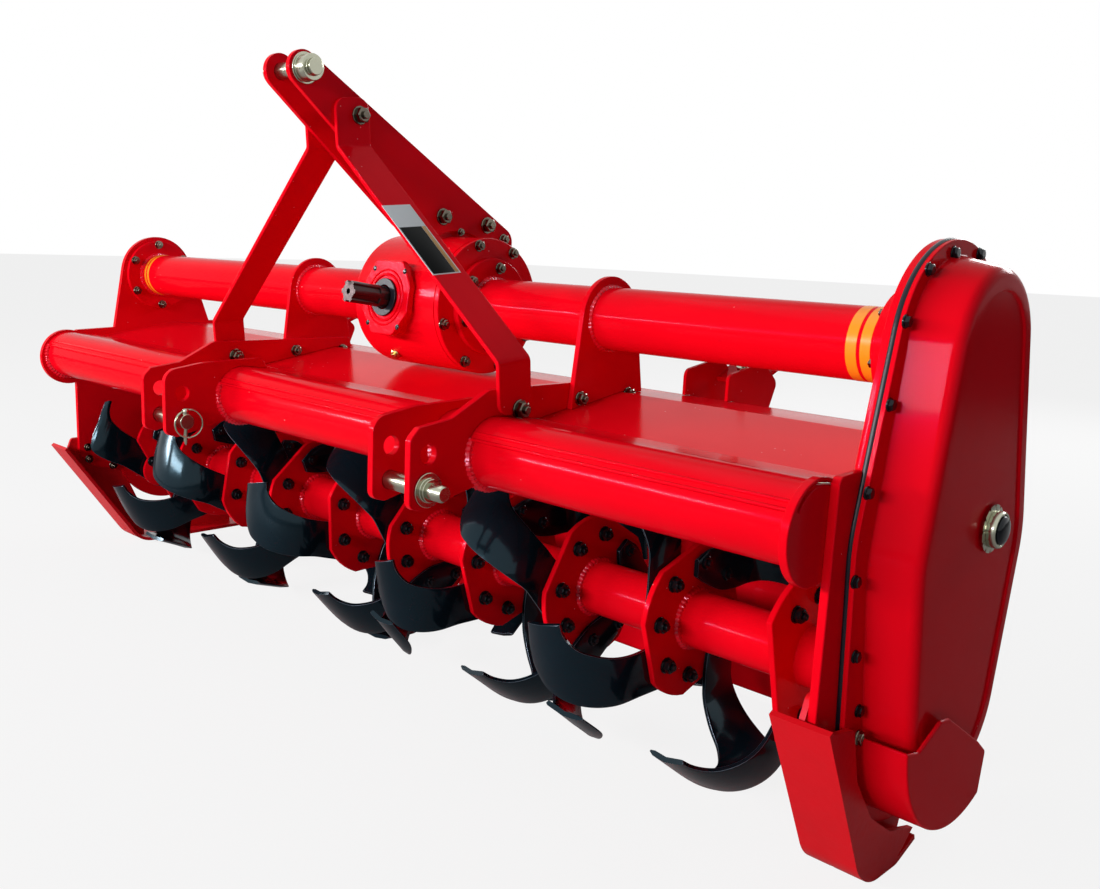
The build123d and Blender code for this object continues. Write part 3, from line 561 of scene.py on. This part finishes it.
PLUG_AT = (35.0, 226.0)
plug_seat = 1000.0 * (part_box("case_plug")[0][0] - hub[0])
lock = [(plug_seat, 0.0), (plug_seat, 20.0), (plug_seat + 2.5, 20.0), (plug_seat + 3, 25.0),
        (plug_seat + 3, 31.0), (plug_seat + 5, 31.5), (plug_seat + 6, 26.0), (plug_seat + 6, 0.0)]
washer = turned("lock_washer", lock, PLUG_AT, zinc_plate, "frame", 96, 0.16, 12)
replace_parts(washer, "case_plug")
rim = [(plug_seat + 5.5, 0.0), (plug_seat + 5.5, 23.0), (plug_seat + 7, 24.0), (plug_seat + 15, 24.0),
       (plug_seat + 17, 22.5), (plug_seat + 17, 20.5), (plug_seat + 15, 19.5), (plug_seat + 15, 0.0)]
turned("plug_ring", rim, PLUG_AT, zinc_plate, "frame", 48)
dome = [(plug_seat + 14.5, 0.0), (plug_seat + 14.5, 18.5), (plug_seat + 18, 18.5), (plug_seat + 20.5, 16.5),
        (plug_seat + 22, 12.0), (plug_seat + 23, 6.0), (plug_seat + 23.2, 0.0)]
turned("plug_cap", dome, PLUG_AT, black_oxide, "frame", 48)

# ---- Case guard ----
# A boot of bent steel plate that keeps stones off the bottom of the gear case. It is welded to the
# case's rim and bolted at an ear.
dressed("case_guard", red_enamel, edge=0.0030)
heads("guard_bolt", [(RIM_FACE + 8, -158, -18, 15, 8)], (1, 0, 0), dark_zinc, "frame",
      thread=0.3)

# ---- Gearbox ----
# A cast drum across the middle of the beam, with a turned cover on its right, a cast cap round the
# input shaft and a brass-coloured level plug low at the front.
# The cast enamel's small pale pink dots are painted glints.
cast_enamel = coated("cast_enamel", (0.84, 0.0015, 0.010), (0.60, 0.0005, 0.004), 0.6, 0.19, 0.75, 110.0,
                     gloss=0.05, tint=(1.0, 0.20, 0.95), glints_and_wear=0.4, coat=0.05)
for node in ("gearbox", "gearbox_cover", "input_cap"):
    dressed(node, cast_enamel, edge=0.0025)
dressed("input_seal", gasket_black, edge=0.0010)
CAP_TILT = math.radians(8)
cap_out = np.array([0.0, -math.cos(CAP_TILT), math.sin(CAP_TILT)])
cap_up = np.array([0.0, math.sin(CAP_TILT), math.cos(CAP_TILT)])
SHAFT_AT = np.array([107.0, -144.0, 455.0])


def cap_ring(radius, size, lift):
    """A raised ring cast round the shaft's hole: a small circle carried round it, half sunk."""
    turn = np.arange(72) * 2 * math.pi / 72
    round_it = np.arange(8) * 2 * math.pi / 8
    out = radius + size * np.cos(round_it)[None, :, None]
    direction = np.cos(turn)[:, None] * np.array([1.0, 0, 0]) + np.sin(turn)[:, None] * cap_up
    rise = (lift + size * np.sin(round_it))[None, :, None]
    return SHAFT_AT + out * direction[:, None] + rise * cap_out


surface("cap_ring_inner", cap_ring(40, 2.6, 0.4), cast_enamel, "frame", True, True)
surface("cap_ring_outer", cap_ring(48, 1.8, 0.2), cast_enamel, "frame", True, True)
for i, (across, high) in enumerate(((-38, 49), (45, 47), (-40, -47), (43, -49))):
    hole = SHAFT_AT + across * np.array([1.0, 0, 0]) + high * cap_up
    heads(f"cap_screw_{i}", [(*hole, 7, 1.6)], tuple(cap_out), black_oxide, "frame", thread=0.0)
heads("cover_bolts", ring_places(231, 108, 15, 45, 8, 15, 9), (1, 0, 0), dark_zinc, "frame")
brass = coated("level_plug_brass", (0.60, 0.46, 0.20), (0.40, 0.30, 0.12), 0.6, 0.22, 0.2, 300.0,
               metallic=1.0)
heads("level_plug", [(62, -78, 352, 17, 12)], (0.35, -0.84, -0.42), brass, "frame")

# ---- Input shaft ----
# A splined steel shaft, oiled and dark, that takes the drive from the tractor. It stands out of the
# gearbox's front through a rubber seal.
oiled_steel = coated("oiled_steel", (0.07, 0.045, 0.045), (0.02, 0.018, 0.02), 0.6, 0.24, 0.3, 160.0,
                     metallic=0.8)
dressed("input_shaft", oiled_steel, edge=0.0006)

# ---- Hitch ears, pins and linch pin ----
# Four plates with the lower link pins across them. The left pin is held by a sprung linch pin with
# its ring, the right one by a washer and a collar; all of these are zinc plated.
for side in ("left", "right"):
    dressed(f"ear_outer_{side}", red_enamel)
    dressed(f"ear_inner_{side}", red_enamel)
dressed("lower_pin_left", zinc_plate, edge=0.0012)
PIN_AT = (-376.0, 214.0)
pin = [(401, 0), (401, 12.6), (402.5, 14), (503.4, 14), (503.4, 24.5), (504.2, 25), (506.8, 25),
       (507.4, 24.4), (507.4, 18), (508.2, 17), (513, 17), (513.8, 16.2), (513.8, 12.6), (537, 12.6),
       (541, 10.0), (541, 0)]
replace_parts(turned("lower_pin_turned", pin, PIN_AT, zinc_plate, "frame", 40), "lower_pin_right")


def carried(path, radius, sides=10, closed=False):
    """A round bar: circles of the given radius carried along a path, square to its direction.

    The direction at a point runs between its neighbours; two axes across it come from crossing it
    with a fixed axis. A radius of nearly nothing at an open path's ends closes them.
    """
    path = np.asarray(path, float)
    if closed:
        along = np.roll(path, -1, axis=0) - np.roll(path, 1, axis=0)
    else:
        along = np.gradient(path, axis=0)
    along /= np.linalg.norm(along, axis=1, keepdims=True)
    fixed = np.array([1.0, 0.013, 0.021]) if abs(along[0, 0]) < 0.9 else np.array([0.0, 0.013, 1.0])
    first = np.cross(along, fixed)
    first /= np.linalg.norm(first, axis=1, keepdims=True)
    second = np.cross(along, first)
    turn = np.arange(sides) * 2 * math.pi / sides
    reach = np.broadcast_to(np.asarray(radius, float), (len(path),))[:, None, None]
    return (path[:, None] + reach * np.cos(turn)[None, :, None] * first[:, None]
            + reach * np.sin(turn)[None, :, None] * second[:, None])


PIN_X, PIN_Y = -180.0, -376.0
ring_turn = np.arange(48) * 2 * math.pi / 48
ring_path = np.stack([PIN_X + 3 + 3 * np.cos(ring_turn), -371 + 26 * np.cos(ring_turn),
                      210 + 26 * np.sin(ring_turn)], axis=1)
surface("linch_ring", carried(ring_path, 1.7, 8, closed=True), zinc_plate, "frame", True, True)
heights = np.array([238.0, 238, 236, 232, 227, 226, 225, 178, 173, 170, 170])
widths = np.array([0.01, 4.6, 6.2, 6.6, 6.2, 4.4, 3.9, 3.9, 2.6, 0.8, 0.01])
pin_turn = np.arange(14) * 2 * math.pi / 14
shaft = np.stack([PIN_X + widths[:, None] * np.cos(pin_turn), PIN_Y + widths[:, None] * np.sin(pin_turn),
                  np.broadcast_to(heights[:, None], (11, 14))], axis=-1)
surface("linch_pin", shaft, zinc_plate, "frame", wrap_v=True)

# ---- Saddles ----
# Upright steel plates that join the hitch to the beam. They are bolted to the outer ears and welded
# round the beam.
for node in ("saddle_left", "saddle_right"):
    dressed(node, red_enamel)
saddle_rows = [(-277.0, y, z, 17, 11) for y, z in ((-73, 323), (44, 320))]
heads("saddle_bolts_left", saddle_rows, (1, 0, 0), dark_zinc, "frame")
saddle_rows = [(513.0, y, z, 17, 11) for y, z in ((-76, 323), (40, 322))]
heads("saddle_bolts_right", saddle_rows, (1, 0, 0), dark_zinc, "frame")
for i, x in enumerate((-299, -289, 503, 513)):
    surface(f"saddle_weld_{i}", weld_ring(x, BEAM_R, 4.5), weld_enamel_painted_highlights, "frame", True, True)

# ---- Mast ----
# Two steel plates that rise from the gearbox to the top link's pin. They are bolted through the
# casting's lug, with a spacer between them.
for node in ("mast_left", "mast_right"):
    dressed(node, red_enamel)
dressed("mast_spacer", black_oxide)
dressed("top_pin", zinc_plate, edge=0.0012)
MAST_OUT, MAST_IN = 144.0, 70.0
mast_places = ((-47, 597, 22), (60, 586, 22), (103, 562, 15), (-4, 572, 10))
heads("mast_bolts_right", [(MAST_OUT, y, z, s, 0.62 * s) for y, z, s in mast_places], (1, 0, 0), dark_zinc,
      "frame")
heads("mast_bolts_left", [(MAST_IN, y, z, s, 0.62 * s) for y, z, s in mast_places], (-1, 0, 0), dark_zinc,
      "frame")

# ---- Braces ----
# Cranked flat bars from the mast down to the outer ears, one bolt at each end. The right one
# carries a plain plate, pale above and black below, with a gold band down one side.
dressed("brace_left", red_enamel)
dressed("brace_right", red_enamel)
heads("brace_bolts_right", [(511, -207, 316, 22, 14), (152, -237, 748, 22, 15)], (1, 0, 0), dark_zinc,
      "frame")
heads("brace_bolts_left", [(-277, -213, 317, 22, 14)], (1, 0, 0), dark_zinc, "frame")
heads("brace_nuts_left", [(62, -237, 748, 22, 15), (-297, -213, 317, 22, 14)], (-1, 0, 0), dark_zinc,
      "frame")
BAR_FOOT = np.array([509.6, -220.1, 390.8])
BAR_ALONG = np.array([-0.755, -0.054, 0.654])
BAR_ACROSS = np.array([0.0, 0.997, 0.082])
BAR_OUT = np.array([0.656, -0.062, 0.752])


def bar_plate(name, along, across, material, lift):
    """A thin plate on the brace's outer face: a flat grid with rolled-down edges, lift proud of it."""
    u = np.array([along[0], along[0], along[0] + 0.6, along[1] - 0.6, along[1], along[1]])
    v = np.array([across[0], across[0], across[0] + 0.6, across[1] - 0.6, across[1], across[1]])
    edge = np.array([-0.4, 0.6, 1, 1, 0.6, -0.4])
    rise = np.minimum(edge[:, None], edge[None])
    points = (BAR_FOOT + u[:, None, None] * BAR_ALONG + v[None, :, None] * BAR_ACROSS
              + lift * rise[:, :, None] * BAR_OUT)
    return surface(name, points, material, "frame")


pale_foil = coated("pale_foil", (0.66, 0.72, 0.74), (0.52, 0.60, 0.64), 0.6, 0.45, 0.05, 300.0, gloss=0.15)
black_foil = coated("black_foil", (0.002, 0.003, 0.003), (0.005, 0.005, 0.006), 0.5, 0.50, 0.05, 300.0,
                    gloss=0.04)
gold_foil = coated("gold_foil", (0.45, 0.24, 0.05), (0.30, 0.15, 0.03), 0.8, 0.30, 0.05, 300.0, gloss=0.4)
bar_plate("brace_plate_rim", (178, 332), (-35, 21), pale_foil, 0.5)
bar_plate("brace_plate_black", (180, 282), (-33, 11), black_foil, 0.8)
bar_plate("brace_plate_gold", (180, 282), (11.4, 19), gold_foil, 0.8)

# ---- Skids ----
# Wide steel runners under both ends, bent up at the front and welded to the side plates. Their
# enamel is worn where they touch the ground.
worn_enamel = coated("worn_enamel", (0.78, 0.003, 0.012), (0.44, 0.010, 0.012), 0.9, 0.24, 0.5, 90.0,
                     gloss=0.08, tint=(1.0, 0.5, 0.8), glints_and_wear=1.0, glint_and_wear_colour=(0.62, 0.30, 0.28),
                     coat=0.02)
SKID_T, SKID_Z = 8.0, -236.0
RIGHT_TOE, RIGHT_HEEL = np.array([-246.0, 16.0]), np.array([-121.0, SKID_Z + SKID_T / 2])
HEEL_R, HEEL_SLACK, HEEL_SUNK = 70.0, 0.1, 0.3
dressed("skid_left", worn_enamel)


def heel_in_line(skin, toe, heel, radius):
    """Brings the cheek's corner, which stands proud of the strip's bend, back to its outer face.

    The bend is the circle that touches the sloping front and the flat sole. What lies between the
    two places it touches, and further from its middle than the strip's outer face, moves in to it.
    """
    up = (toe - heel) / np.linalg.norm(toe - heel)
    half = math.acos(up[0]) / 2
    middle = heel + np.array([math.cos(half), math.sin(half)]) * radius / math.sin(half)
    spots = np.empty(3 * len(skin.data.vertices))
    skin.data.vertices.foreach_get("co", spots)
    spots = spots.reshape(-1, 3)
    flat = (spots[:, 1:] - np.array(hub.yz)) * 1000 - middle
    far = np.linalg.norm(flat, axis=1)
    proud = (flat[:, 0] <= 0) & (flat @ up <= 0) & (far > radius + SKID_T / 2 + HEEL_SLACK)
    flat[proud] *= ((radius + SKID_T / 2 - HEEL_SUNK) / far[proud])[:, None]
    spots[proud, 1:] = (flat[proud] + middle) / 1000 + np.array(hub.yz)
    skin.data.vertices.foreach_set("co", spots.ravel())
    skin.data.update()


heel_in_line(dressed("skid_right", worn_enamel), RIGHT_TOE, RIGHT_HEEL, HEEL_R)


def flat_plate(name, outline, x0, x1, material, body):
    """A plate cut to an outline of y, z from x0 to x1: the outline twice, closed to its middle."""
    outline = np.asarray(outline, float)
    middle = np.broadcast_to(outline.mean(axis=0), outline.shape)
    rows = [(x0, middle), (x0, outline), (x1, outline), (x1, middle)]
    points = np.stack([np.column_stack([np.full(len(outline), x), flat]) for x, flat in rows])
    return surface(name, points, material, body, wrap_v=True)


GUSSET_IN, GUSSET_OUT = 1046.2, 1052.2
gusset = [(-148, -120), (-60, -128), (36, -128), (14, -206), (-22, -222), (-36, -226), (-98, -226),
          (-112, -212)]
flat_plate("skid_gusset", gusset, GUSSET_IN, GUSSET_OUT, worn_enamel, "frame")

# ---- Rotor ----
# A tube with stub ends carries ten steel discs, welded on square to it; each tine is held by two
# black bolts, with their nuts on the disc's other side.
DISC_PITCH, DISC_T, ROTOR_HALF, ROTOR_R = 200.0, 10.0, 900.0, 44.5
DISC_CORNERS = (299, 347, 305, 356, 317, 273, 332, 284, 333.5, 285)
DISC_BEHIND = (0, 90, 90, 90, 90, 0, 90, 0, 90, 0)
dressed("rotor_bearing", red_enamel)
dressed("rotor_shaft", red_enamel)
disc_x = -ROTOR_HALF + DISC_PITCH * np.arange(10)
END_DISCS = (0, 9)
LOBE_R, LOBE_HALF, LOBE_BLUNT, LOBE_CORNER = 118, 50, 0.55, 209


def lobe_row(x, corner):
    """The end disc's two further corners, as one ring of points: an oval along the corner's line."""
    turn = np.arange(72) * 2 * math.pi / 72
    along = LOBE_R * np.sign(np.cos(turn)) * np.abs(np.cos(turn)) ** LOBE_BLUNT
    across = LOBE_HALF * np.sin(turn)
    c, s = math.cos(math.radians(corner)), math.sin(math.radians(corner))
    flat = np.stack([along * c - across * s, along * s + across * c], axis=1)
    rows = [(x - 4.6, 0.0), (x - 4.6, 0.99), (x - 4.0, 1.0), (x + 4.0, 1.0), (x + 4.6, 0.99),
            (x + 4.6, 0.0)]
    return np.stack([np.column_stack([np.full(72, at), share * flat]) for at, share in rows])


surface("end_disc_lobes", lobe_row(-ROTOR_HALF, LOBE_CORNER), red_enamel, "rotor", wrap_v=True)
rotor_welds = [weld_ring(x + s * DISC_T / 2, ROTOR_R, 6.5, (0, 0), 360 * i / 10.0)
               for i, x in enumerate(disc_x) for s in (-1, 1) if abs(x + s) < ROTOR_HALF or s * x < 0]
surface("rotor_welds", np.stack(rotor_welds), weld_enamel_painted_highlights, "rotor", wrap_u=True, wrap_v=True)
nut_rows, bolt_rows = [], []
for i, x in enumerate(disc_x):
    corners = 2 if i == END_DISCS[1] else 4
    for k in range(corners):
        corner = DISC_CORNERS[i] + k * 360 / corners
        spread, reach = (20, 88) if i in END_DISCS else (21, 90)
        for s in (-spread, spread):
            angle = math.radians(corner + s)
            y, z = reach * math.cos(angle), reach * math.sin(angle)
            nut_rows.append((x + DISC_T / 2, y, z, 19, 13))
            bolt_rows.append((x - DISC_T / 2, y, z, 19, 11))
heads("tine_nuts", nut_rows, (1, 0, 0), black_oxide, "rotor", turn=11)
heads("tine_bolts", bolt_rows, (-1, 0, 0), black_oxide, "rotor", turn=4)

# ---- Tines ----
# Hooked blades forged from spring steel, dipped in a glossy blue-black lacquer whose paler blue drift is
# a painted sheen. Each is bolted flat on its disc, bends over sideways at its end, and is cut off square;
# a thin strip of pale steel on each edge is ground bare and also paints the edges' thin highlight lines.
LEAD_EDGE = np.array([(8, 98), (42, 102), (77, 92), (105, 86), (137, 80), (170, 79), (203, 76), (235, 70),
                      (263, 60), (286, 46), (308, 12), (309, -48)], float)
TRAIL_EDGE = np.array([(2, 70), (22, 52), (58, 26), (95, 13), (130, 7), (166, 0), (196, -10), (218, -20),
                       (233, -34), (240, -46), (242, -56), (243, -62)], float)
TINE_TOP, TINE_BEND, TINE_T, TINE_LEAN = 222.0, 95.0, 8.0, -52.0
TINE_SEAT, TINE_BENT = 0.3, 100
LOBE_SHARE, CROWDED_SHARE, CROWDED_DISCS = 0.26, 0.78, (5, 6)
KNOT_STEPS = 5


def through(knots):
    """A smooth line through the knots: cubic pieces, each knot's slope set by its two neighbours."""
    ends = np.vstack([2 * knots[0] - knots[1], knots, 2 * knots[-1] - knots[-2]])
    t = (np.arange(KNOT_STEPS) / KNOT_STEPS)[None, :, None]
    a, b, c, d = ends[:-3, None], ends[1:-2, None], ends[2:-1, None], ends[3:, None]
    line = 0.5 * (2 * b + (c - a) * t + (2 * a - 5 * b + 4 * c - d) * t**2
                  + (3 * b - a - 3 * c + d) * t**3)
    return np.vstack([line.reshape(-1, 2), knots[-1:]])


def tine_grid():
    """One blade standing up along h, with q across it and x away from the disc.

    Its section runs from the lead edge to the trail edge, thin at the lead edge. Up to the bend the
    sheet is flat; past it the sheet follows an arc, by an angle of the length over the bend's
    radius, to 100 degrees, and runs on straight. The wall lies half its thickness off the middle.
    """
    lead, trail = through(LEAD_EDGE), through(TRAIL_EDGE)
    share = np.array([0.0, 0.13, 0.5, 0.94, 1.0, 1.0, 0.94, 0.5, 0.13, 0.0])
    off = TINE_T / 2 * np.array([0.30, 1, 1, 1, 0.7, -0.7, -1, -1, -1, -0.30])
    flat = lead[:, None] * (1 - share)[None, :, None] + trail[:, None] * share[None, :, None]
    flat = np.concatenate([flat[:1].mean(axis=1, keepdims=True).repeat(10, axis=1), flat,
                           flat[-1:].mean(axis=1, keepdims=True).repeat(10, axis=1)])
    off = np.broadcast_to(off, flat.shape[:2]).copy()
    off[[0, -1]] = 0.0
    length, q = flat[..., 0], flat[..., 1]
    start, most = TINE_TOP - TINE_BEND, math.radians(TINE_BENT)
    bend = np.clip((length - start) / TINE_BEND, 0, most)
    past = np.maximum(length - start - TINE_BEND * most, 0)
    x = TINE_BEND * (1 - np.cos(bend)) + past * math.sin(most) + off * np.cos(bend)
    h = np.minimum(length, start) + TINE_BEND * np.sin(bend) + past * math.cos(most) - off * np.sin(bend)
    return np.stack([x, h, q], axis=-1)


def placed_tines(seats):
    """The blade at each seat of disc x, side, turn and share of the reach, turned about the rotor."""
    x, h, q = np.moveaxis(tine_grid(), -1, 0)
    disc, side, turn, share = (np.asarray(seats, float).T)[:, :, None, None]
    angle = np.radians(turn + TINE_LEAN)
    return np.stack([disc + side * (DISC_T / 2 + TINE_SEAT + TINE_T / 2 + share * x),
                     h * np.cos(angle) - q * np.sin(angle), h * np.sin(angle) + q * np.cos(angle)], axis=-1)


tine_seats = [(-ROTOR_HALF, -1, LOBE_CORNER - k, LOBE_SHARE) for k in (0, 180)]
for i, (x, corner, behind) in enumerate(zip(disc_x, DISC_CORNERS, DISC_BEHIND)):
    if i in END_DISCS:
        tine_seats += [(x, 1 if i == 0 else -1, corner + k, 1.0) for k in (0, 180)]
    else:
        right_share, left_share = (CROWDED_SHARE if i == crowded else 1.0 for crowded in CROWDED_DISCS)
        tine_seats += [(x, 1, corner + k, right_share) for k in (0, 90)]
        tine_seats += [(x, -1, corner - behind - k, left_share) for k in (0, 90)]
# The lacquer's deep colour is a paler blue than its main colour: a painted sheen drifting over the blades.
black_lacquer = coated("black_lacquer", (0.0012, 0.0035, 0.005), (0.006, 0.016, 0.026), 0.6, 0.09, 0.3, 60.0,
                       gloss=0.30, tint=(0.45, 0.8, 1.0), coat=0.10)
# Pale steel on the bevelled edges: bare ground edges, and painted highlight lines along every edge.
ground_edge_and_highlight = coated("ground_edge_and_highlight", (0.20, 0.24, 0.30), (0.05, 0.06, 0.08), 0.9, 0.28, 0.4, 300.0,
                     metallic=0.9)
blades = surface("tine_blades", placed_tines(tine_seats), black_lacquer, "rotor", wrap_v=True)
blades.data.materials.append(ground_edge_and_highlight)
bright_line = blades.modifiers.new("ground_and_highlight_line", "BEVEL")
bright_line.width = 0.0009
bright_line.segments = 1
bright_line.limit_method = "ANGLE"
bright_line.angle_limit = math.radians(40)
bright_line.material = 1
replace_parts(blades, "tines")

# ---- Rear board, brackets and adjusters ----
# A curved steel board hinged behind the hood levels the soil. Two plated rods with coil springs
# hold it down from brackets on the hood.
for node in ("rear_board", "board_bracket_left", "board_bracket_right"):
    dressed(node, red_enamel)
dressed("adjuster_rods", zinc_plate, edge=0.0006)
spring_black = coated("spring_black", (0.004, 0.004, 0.005), (0.012, 0.012, 0.014), 0.6, 0.25, 0.2, 300.0,
                      gloss=0.4)
ROD_LOW, ROD_ALONG = np.array([365.0, 30.0]), np.array([-0.3704, 0.9289])
ROD_NUTS_AT, ROD_NUT = (54, 191), (24, 8)
SPRING_START, SPRING_END, SPRING_R, SPRING_WIRE, SPRING_TURNS = 66, 190, 16, 3.5, 8


def rod_spring(x, start, end, radius, wire, turns):
    """A coil spring round a rod: wire carried along a helix from start to end up the rod."""
    turn = np.linspace(0, 2 * math.pi * turns, int(turns * 20) + 1)
    up_rod = start + (end - start) * turn / turn[-1]
    across = np.array([-ROD_ALONG[1], ROD_ALONG[0]])
    middle = ROD_LOW + up_rod[:, None] * ROD_ALONG + (radius * np.cos(turn))[:, None] * across
    thick = wire * np.ones(len(turn))
    thick[[0, -1]] = 0.01
    return carried(np.column_stack([x + radius * np.sin(turn), middle]), thick, 8)


for side, x in (("left", -564.5), ("right", 609.5)):
    seats = [(x, *(ROD_LOW + up_rod * ROD_ALONG), *ROD_NUT) for up_rod in ROD_NUTS_AT]
    heads(f"rod_nuts_{side}", seats, (0, *ROD_ALONG), zinc_plate, "adjusters")
    coil = rod_spring(x, SPRING_START, SPRING_END, SPRING_R, SPRING_WIRE, SPRING_TURNS)
    surface(f"rod_spring_{side}", coil, spring_black, "adjusters", wrap_v=True)

low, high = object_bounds()
